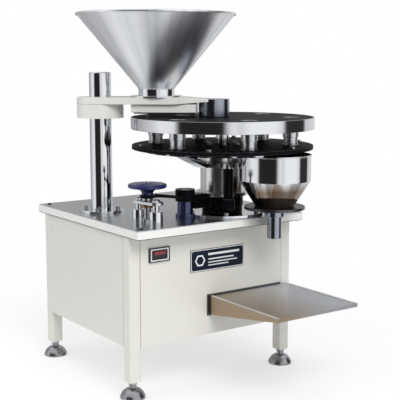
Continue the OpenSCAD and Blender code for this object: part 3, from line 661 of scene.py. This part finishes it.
def dome(at, r, h, steps=5, spokes=20, tip=0.0006):
    """Low rounded head standing on a flat face, as a closed ring with a small dimple at its tip."""
    angles = [math.pi / 2 * i / steps for i in range(steps)]
    arc = [(r * math.cos(a), at[2] + h * math.sin(a)) for a in angles]
    dimple = [(tip, at[2] + h), (tip * 0.5, at[2] + h * 0.8)]
    return lathe(at, [(tip, at[2])] + arc + dimple, spokes)


def add_piece(name, data, material, body, width=0.0002):
    """Turns mesh data into a piece with soft edges, carried by a body."""
    mesh = bpy.data.meshes.new(name)
    mesh.from_pydata(data[0], [], data[1])
    shape = bmesh.new()
    shape.from_mesh(mesh)
    bmesh.ops.recalc_face_normals(shape, faces=shape.faces)
    shape.to_mesh(mesh)
    shape.free()
    mesh.materials.append(material)
    mesh.shade_smooth()
    piece = bpy.data.objects.new(name, mesh)
    scene.collection.objects.link(piece)
    edge = piece.modifiers.new("edge", "BEVEL")
    edge.width = width
    edge.segments = ROUND_STEPS
    edge.limit_method = "ANGLE"
    edge.angle_limit = SHARP
    normals = piece.modifiers.new("normals", "WEIGHTED_NORMAL")
    normals.weight = BY_AREA
    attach(piece, body)
    return piece


def hexagon(x, z, r):
    return [(x + r * math.cos(math.pi / 3 * i), z + r * math.sin(math.pi / 3 * i)) for i in range(6)]


def dress_nameplate():
    """Raised border, a plain hexagon and rules that stand in for lettering, and four rivets."""
    inset, border_wide = 0.0012, 0.0018
    hexagon_at, hexagon_outer, hexagon_inner = 0.026, 0.014, 0.010
    rivet_inset, rivet_r, rivet_h = 0.005, 0.0016, 0.0008
    fine_edge, rivet_edge = 0.00015, 0.00008
    # Each rule is (left, right, bottom, top) from the plate's lower left corner
    rules = [
        (0.048, 0.134, 0.0345, 0.0395),
        (0.048, 0.118, 0.0245, 0.0275),
        (0.048, 0.128, 0.0175, 0.0200),
        (0.048, 0.104, 0.0110, 0.0135),
    ]
    low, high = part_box("nameplate")
    y0, y1 = low.y - 0.0005, low.y + 0.0003
    edging = border(low.x + inset, high.x - inset, low.z + inset, high.z - inset, border_wide, y0, y1)
    add_piece("nameplate_border", edging, plate_light, "machine", fine_edge)

    mid_x, mid_z = low.x + hexagon_at, (low.z + high.z) / 2
    outer = hexagon(mid_x, mid_z, hexagon_outer)
    inner = hexagon(mid_x, mid_z, hexagon_inner)
    sides = []
    for i in range(6):
        j = (i + 1) % 6
        sides.append(prism([outer[i], outer[j], inner[j], inner[i]], y0, y1))
    add_piece("nameplate_hexagon", merge(*sides), plate_light, "machine", fine_edge)

    lines = [bar(low.x + x0, low.x + x1, low.z + z0, low.z + z1, y0, y1) for x0, x1, z0, z1 in rules]
    add_piece("nameplate_rules", merge(*lines), plate_light, "machine", fine_edge)

    for side, x in (("left", low.x + rivet_inset), ("right", high.x - rivet_inset)):
        for level, z in (("low", low.z + rivet_inset), ("high", high.z - rivet_inset)):
            # The head is made upright, then laid over to face the front
            points, faces = dome((x, 0, 0), rivet_r, rivet_h, 4, 16, 0.0003)
            points = [(px, low.y - pz, z + py) for px, py, pz in points]
            add_piece("nameplate_rivet_%s_%s" % (side, level), (points, faces),
                      screw_steel, "machine", rivet_edge)


def dress_switch():
    """Black lower half and a light line for the red rocker, the line a painted glint, and a light ring round it.
    """
    skin_half, skin_out, skin_in = 0.0139, 0.0002, 0.0006
    skin_foot, skin_high, slices = 0.0080, 0.0078, 6
    ring_half_x, ring_half_z, ring_wide, ring_deep = 0.0225, 0.0132, 0.0026, 0.0004
    line_half, line_low, line_high = 0.0075, 0.0004, 0.0013
    line_sunk, line_thick = 0.0025, 0.0013
    low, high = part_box("switch_rocker")
    mid_x, mid_z = (low.x + high.x) / 2, (low.z + high.z) / 2

    def face(z):
        """How far forward the rocker's lower half stands at a height."""
        return low.y + 0.002 + 0.0008 * (1 - abs(z - mid_z) / 0.0082)

    points, faces = [], []
    for i in range(slices + 1):
        z = mid_z - skin_foot + skin_high * i / slices
        near, far = face(z) - skin_out, face(z) + skin_in
        points += [(mid_x - skin_half, near, z), (mid_x + skin_half, near, z),
                   (mid_x + skin_half, far, z), (mid_x - skin_half, far, z)]
    for i in range(slices):
        a, b = 4 * i, 4 * (i + 1)
        faces += [(a + k, a + (k + 1) % 4, b + (k + 1) % 4, b + k) for k in range(4)]
    faces += [tuple(range(4)), tuple(range(4 * slices, 4 * slices + 4))]
    add_piece("rocker_lower", (points, faces), black_plastic, "rocker", 0.0001)

    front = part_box("switch_bezel")[0].y
    ring = border(mid_x - ring_half_x, mid_x + ring_half_x, mid_z - ring_half_z, mid_z + ring_half_z,
                  ring_wide, front - ring_deep, front + ring_deep)
    add_piece("bezel_ring", ring, plate_light, "machine", 0.0002)

    # The painted glint line's depth is taken from the bezel's front, which leaves it hidden inside the rocker
    line_y = front + line_sunk
    line = bar(mid_x - line_half, mid_x + line_half, mid_z + line_low, mid_z + line_high,
               line_y, line_y + line_thick)
    add_piece("rocker_glint_line", line, plate_light, "rocker", 0.0001)


def slotted_head(at, r, h):
    """Pan head with a driving slot: two half rounds on a core and a thin washer."""
    x, y, z = at
    arc_steps, slot_half, reach = 14, r * 0.16, r * 0.9
    washer = lathe(at, [(r * 0.3, z), (r * 1.25, z), (r * 1.25, z + h * 0.25), (r * 0.3, z + h * 0.25)], 28)
    halves = []
    for side in (-1, 1):
        angles = [math.pi * i / arc_steps for i in range(arc_steps + 1)]
        rim = [(x + r * math.cos(a), y + side * (slot_half + reach * math.sin(a))) for a in angles]
        n = len(rim)
        points = [(px, py, z + h * 0.2) for px, py in rim] + [(px, py, z + h) for px, py in rim]
        faces = [tuple(range(n)), tuple(range(2 * n - 1, n - 1, -1))]
        faces += [(i, (i + 1) % n, n + (i + 1) % n, n + i) for i in range(n)]
        halves.append((points, faces))
    core = lathe(at, [(r * 0.1, z), (r * 0.85, z), (r * 0.85, z + h * 0.45), (r * 0.1, z + h * 0.45)], 28)
    return merge(washer, core, *halves)


def screw_down_deck():
    """A slotted screw at each corner of the deck plate."""
    low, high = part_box("deck_plate")
    inset, head_r, head_h = 0.018, 0.0042, 0.0026
    for side, x in (("left", low.x + inset), ("right", high.x - inset)):
        for end, y in (("front", low.y + inset), ("rear", high.y - inset)):
            add_piece("deck_corner_screw_%s_%s" % (side, end), slotted_head((x, y, DECK_Z), head_r, head_h),
                      dark_steel, "machine")


def weld_hopper():
    """Upright weld bead down the cone and a bead round its foot, both a little uneven."""
    random.seed(11)
    low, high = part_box("hopper")
    foot_z, rim_z = low.z + 0.001, high.z - 0.008
    foot_r, rim_r = 0.0412, (high.x - low.x) / 2 - 0.0042
    turn = math.radians(118)  # towards the rear left
    sunk, root = -0.0002, -0.0006
    steps, points, faces = 60, [], []
    for i in range(steps + 1):
        t = i / steps
        r = foot_r + (rim_r - foot_r) * t
        z = foot_z + (rim_z - foot_z) * t
        half = 0.0013 + 0.0003 * random.random()
        lift = 0.0006 + 0.0003 * random.random()
        for across, out in ((-half, sunk), (-half * 0.5, lift), (half * 0.5, lift), (half, sunk), (0, root)):
            points.append((HOPPER.x + (r + out) * math.cos(turn) - across * math.sin(turn),
                           HOPPER.y + (r + out) * math.sin(turn) + across * math.cos(turn), z))
    for i in range(steps):
        a, b = 5 * i, 5 * (i + 1)
        faces += [(a + k, b + k, b + (k + 1) % 5, a + (k + 1) % 5) for k in range(5)]
    faces += [(0, 1, 2, 3, 4), tuple(5 * steps + k for k in range(5))]
    add_piece("hopper_seam", (points, faces), hopper_steel, "hopper_arm", 0.0001)

    def ripple(a):
        return 1 + 0.006 * math.sin(37 * a) + 0.004 * math.sin(61 * a + 1)

    bead_r, bead_wide, bead_high = 0.0408, 0.0014, 0.0012
    bead = [(bead_r + bead_wide * math.cos(a), low.z + bead_high * math.sin(a))
            for a in [math.pi * i / 4 for i in range(8)]]
    add_piece("hopper_foot_weld", lathe(HOPPER, bead, 160, ripple),
              hopper_steel, "hopper_arm", 0.0001)


def trim_funnel():
    """Rolled lip at the mouth."""
    low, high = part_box("funnel")
    lip_r, lip_z, wire = (high.x - low.x) / 2 + 0.0009, high.z - 0.0022, 0.0013
    lip = [(lip_r + wire * math.cos(a), lip_z + wire * math.sin(a)) for a in [math.pi * i / 6 for i in range(12)]]
    add_piece("funnel_lip", lathe(FUNNEL, lip, 120), funnel_chrome, "machine", 0.0001)


def nut_bridge():
    """Hexagon nuts with washers on the ends of the lift pillars."""
    spacing, turn = 0.027, math.radians(-80)
    washer_in, washer_out, washer_h = 0.0052, 0.0092, 0.001
    nut_in, nut_out, nut_chamfer, nut_shoulder, nut_top = 0.0045, 0.0072, 0.0062, 0.0042, 0.005
    z = top("lift_bridge")

    def flats(a):
        """Turns the round into a hexagon."""
        return 1 / math.cos((a + math.pi / 6) % (math.pi / 3) - math.pi / 6)

    for label, side in (("near", 1), ("far", -1)):
        at = (WHEEL.x + side * spacing * math.cos(turn), WHEEL.y + side * spacing * math.sin(turn), z)
        washer = lathe(
            at,
            [(washer_in, z), (washer_out, z), (washer_out, z + washer_h), (washer_in, z + washer_h)],
            40)
        nut = lathe(
            at,
            [(nut_in, z + washer_h), (nut_out, z + washer_h), (nut_out, z + nut_shoulder),
             (nut_chamfer, z + nut_top), (nut_in, z + nut_top)],
            48, flats)
        add_piece("pillar_nut_%s" % label, merge(washer, nut), small_chrome, "machine", 0.0001)


def paint_lid_shadow_strip():
    """Dark strip under the lid's folded edge, in four mitred lengths, that paints the shadow line there."""
    low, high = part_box("lid")
    inset, wide, thick = 0.0002, 0.0022, 0.0012
    x0, x1, y0, y1 = low.x + inset, high.x - inset, low.y + inset, high.y - inset
    outer = [(x0, y0), (x1, y0), (x1, y1), (x0, y1)]
    inward = [(1, 1), (-1, 1), (-1, -1), (1, -1)]
    inner = [(x + wide * sx, y + wide * sy) for (x, y), (sx, sy) in zip(outer, inward)]
    for i, side in enumerate(("front", "right", "rear", "left")):
        j = (i + 1) % 4
        flat = [outer[i], outer[j], inner[j], inner[i]]
        points = [(x, y, low.z - thick) for x, y in flat] + [(x, y, low.z) for x, y in flat]
        faces = [(3, 2, 1, 0), (4, 5, 6, 7)] + [(k, (k + 1) % 4, 4 + (k + 1) % 4, 4 + k) for k in range(4)]
        add_piece("lid_strip_%s" % side, (points, faces), lid_shadow_black, "machine")


def paint_tray_edge_highlight():
    """Bright folded hems along the tray's two sides, whose near-white steel is a painted highlight."""
    low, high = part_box("tray")
    wide, thick = 0.0065, 0.0009
    front, rear = low.y + 0.001, high.y - 0.004
    for side, x in (("left", low.x), ("right", high.x - wide)):
        hem = bar(x, x + wide, high.z, high.z + thick, front, rear)
        add_piece("tray_hem_%s" % side, hem, hem_highlight_steel, "machine", 0.0003)


dress_nameplate()
dress_switch()
screw_down_deck()
weld_hopper()
trim_funnel()
nut_bridge()
paint_lid_shadow_strip()
paint_tray_edge_highlight()

# ---------- floor and light ----------

FLOOR_R = 1.15
FADE_FROM, FADE_TO = 0.45, 0.99  # shares of the floor's radius
FLOOR_SOLID = 0.45  # how much of the paper shows before it fades

# Brightness of the tent round the room, as (degrees from +X towards +Y, level)
TENT = [
    (-180, 0.03), (-176, 0.02), (-126, 0.02), (-118, 0.75), (-112, 0.9), (-105, 0.75), (-92, 1.0), (-60, 1.0),
    (-48, 0.8), (-42, 0.03), (-8, 0.03), (-2, 0.7), (30, 0.75), (60, 0.4), (110, 0.45), (140, 0.75), (152, 0.95),
    (172, 0.9), (179, 0.1),
]


def lay_floor():
    """A round sheet of pale paper that fades out at its edge."""
    mesh = bpy.data.meshes.new("floor")
    rings, spokes = 6, 96
    points = [(0, 0, 0)]
    for i in range(1, rings + 1):
        r = FLOOR_R * i / rings
        for k in range(spokes):
            a = 2 * math.pi * k / spokes
            points.append((r * math.cos(a), r * math.sin(a), 0))
    faces = [(0, 1 + k, 1 + (k + 1) % spokes) for k in range(spokes)]
    for i in range(rings - 1):
        for k in range(spokes):
            inner, outer = 1 + i * spokes, 1 + (i + 1) * spokes
            n = (k + 1) % spokes
            faces.append((inner + k, outer + k, outer + n, inner + n))
    mesh.from_pydata(points, [], faces)
    floor = bpy.data.objects.new("floor", mesh)
    scene.collection.objects.link(floor)
    material, tree, shader = start_material("floor_paper", Roughness=0.85, Specular_IOR_Level=0.1)
    shader.inputs["Base Color"].default_value = rgb(0.96, 0.96, 0.96)
    place = put(tree, "ShaderNodeTexCoord")
    reach = put(tree, "ShaderNodeVectorMath", operation="LENGTH")
    fade = put(tree, "ShaderNodeMapRange", interpolation_type="SMOOTHSTEP",
               From_Min=FADE_FROM * FLOOR_R, From_Max=FADE_TO * FLOOR_R, To_Min=FLOOR_SOLID, To_Max=0.0)
    join(
        tree,
        (place.outputs["Object"], reach.inputs[0]),
        (reach.outputs["Value"], fade.inputs["Value"]),
        (fade.outputs["Result"], shader.inputs["Alpha"]),
    )
    mesh.materials.append(material)


def light_room():
    """A bright tent with dark flags, which draw the upright bands in the polished metal."""
    world = bpy.data.worlds.new("studio")
    scene.world = world
    world.use_nodes = True
    tree = world.node_tree
    tree.nodes.clear()
    out = put(tree, "ShaderNodeOutputWorld")
    place = put(tree, "ShaderNodeTexCoord")
    parts = put(tree, "ShaderNodeSeparateXYZ")
    turn = put(tree, "ShaderNodeMath", operation="ARCTAN2")
    around = put(tree, "ShaderNodeMapRange", From_Min=-math.pi, From_Max=math.pi)
    flags = put(tree, "ShaderNodeValToRGB")
    join(
        tree,
        (place.outputs["Generated"], parts.inputs["Vector"]),
        (parts.outputs["Y"], turn.inputs[0]),
        (parts.outputs["X"], turn.inputs[1]),
        (turn.outputs["Value"], around.inputs["Value"]),
        (around.outputs["Result"], flags.inputs["Fac"]),
    )
    ramp = flags.color_ramp
    ramp.elements[0].position, ramp.elements[1].position = 0.0, 1.0
    for _ in range(len(TENT) - 2):
        ramp.elements.new(0.5)
    for element, (angle, level) in zip(ramp.elements, TENT):
        element.position = (angle + 180) / 360
        element.color = rgb(level, level, level)
    # Above the flags the tent is all bright
    rise = put(tree, "ShaderNodeMapRange", From_Min=0.45, From_Max=0.75)
    tent = put(tree, "ShaderNodeMix", data_type="RGBA")
    join(
        tree,
        (parts.outputs["Z"], rise.inputs["Value"]),
        (rise.outputs["Result"], tent.inputs["Factor"]),
        (flags.outputs["Color"], tent.inputs["A"]),
    )
    tent.inputs["B"].default_value = rgb(1.0, 1.0, 1.0)
    # The camera itself sees plain white paper
    seen = put(tree, "ShaderNodeLightPath")
    studio = put(tree, "ShaderNodeBackground", Strength=1.0)
    paper = put(tree, "ShaderNodeBackground", Strength=1.0)
    paper.inputs["Color"].default_value = rgb(1.0, 1.0, 1.0)
    both = put(tree, "ShaderNodeMixShader")
    join(
        tree,
        (tent.outputs["Result"], studio.inputs["Color"]),
        (seen.outputs["Is Camera Ray"], both.inputs["Fac"]),
        (studio.outputs["Background"], both.inputs[1]),
        (paper.outputs["Background"], both.inputs[2]),
        (both.outputs["Shader"], out.inputs["Surface"]),
    )


def hang_lamp(name, at, aim, size, power):
    """A soft box that lights the machine but doesn't show in its polished metal."""
    data = bpy.data.lights.new(name, "AREA")
    data.shape = "RECTANGLE"
    data.size, data.size_y = size
    data.energy = power
    lamp = bpy.data.objects.new(name, data)
    lamp.location = at
    lamp.rotation_euler = (Vector(aim) - Vector(at)).to_track_quat("-Z", "Y").to_euler()
    lamp.visible_glossy = False
    scene.collection.objects.link(lamp)


lay_floor()
light_room()
hang_lamp("key_light", at=(-0.6, -2.2, 2.4), aim=(0, 0, 0.4), size=(1.6, 1.2), power=40)
hang_lamp("left_fill", at=(-2.6, 0.2, 1.4), aim=(0, 0, 0.4), size=(1.6, 1.6), power=16)
scene.view_settings.view_transform = "Standard"
